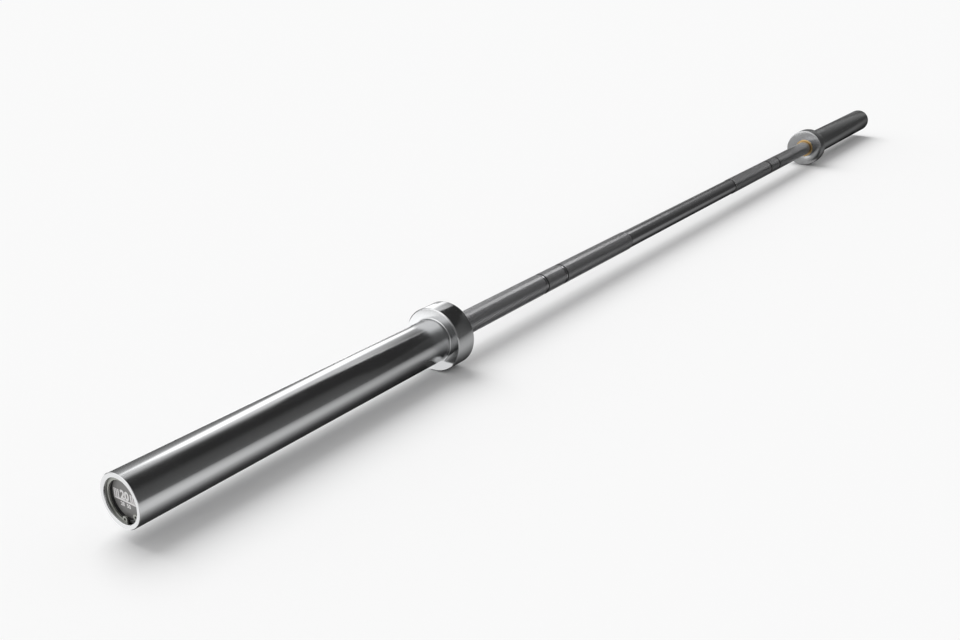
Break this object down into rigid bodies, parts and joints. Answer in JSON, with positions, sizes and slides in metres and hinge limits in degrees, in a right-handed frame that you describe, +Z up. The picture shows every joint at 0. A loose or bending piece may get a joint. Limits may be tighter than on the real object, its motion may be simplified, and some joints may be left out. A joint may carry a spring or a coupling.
{
  "type": "olympic barbell",
  "caption": "Long steel weightlifting bar with knurled grips, ring marks and a freely spinning, collared plate sleeve on each end.",
  "frame": {"origin": "middle of the bar on its axis", "axes": "+X along the bar towards its right end, +Z up; the bar lies on its two collars"},
  "size_m": [2.186, 0.074, 0.074],
  "materials": {
    "shaft_steel": "dark satin steel, knurled grips",
    "sleeve_chrome": "turned satin chrome",
    "collar_chrome": "turned satin chrome",
    "bronze": "oiled bronze",
    "washer_steel": "ground",
    "spring_steel": "phosphated spring steel",
    "cap_steel": "black paint",
    "disc_print": "matt grey film with a plain number",
    "circlip_steel": "zinc plated spring steel"
  },
  "bodies": {
    "bar": {"shaft": "shaft_steel", "left_inner_thrust_washer": "washer_steel", "right_inner_thrust_washer": "washer_steel", "left_outer_thrust_washer": "washer_steel", "right_outer_thrust_washer": "washer_steel", "left_shaft_snap_ring": "spring_steel", "right_shaft_snap_ring": "spring_steel"},
    "left_end": {"left_sleeve": "sleeve_chrome", "left_collar": "collar_chrome", "left_inner_bushing": "bronze", "left_outer_bushing": "bronze", "left_end_cap": "cap_steel", "left_cap_disc": "disc_print", "left_sleeve_circlip": "circlip_steel"},
    "right_end": {"right_sleeve": "sleeve_chrome", "right_collar": "collar_chrome", "right_inner_bushing": "bronze", "right_outer_bushing": "bronze", "right_end_cap": "cap_steel", "right_cap_disc": "disc_print", "right_sleeve_circlip": "circlip_steel"}
  },
  "joints": [
    {"name": "left_sleeve_spin", "type": "hinge", "parent": "bar", "child": "left_end", "pos_m": [-0.87, 0, 0], "axis": [1, 0, 0], "continuous": true},
    {"name": "right_sleeve_spin", "type": "hinge", "parent": "bar", "child": "right_end", "pos_m": [0.87, 0, 0], "axis": [1, 0, 0], "continuous": true}
  ]
}
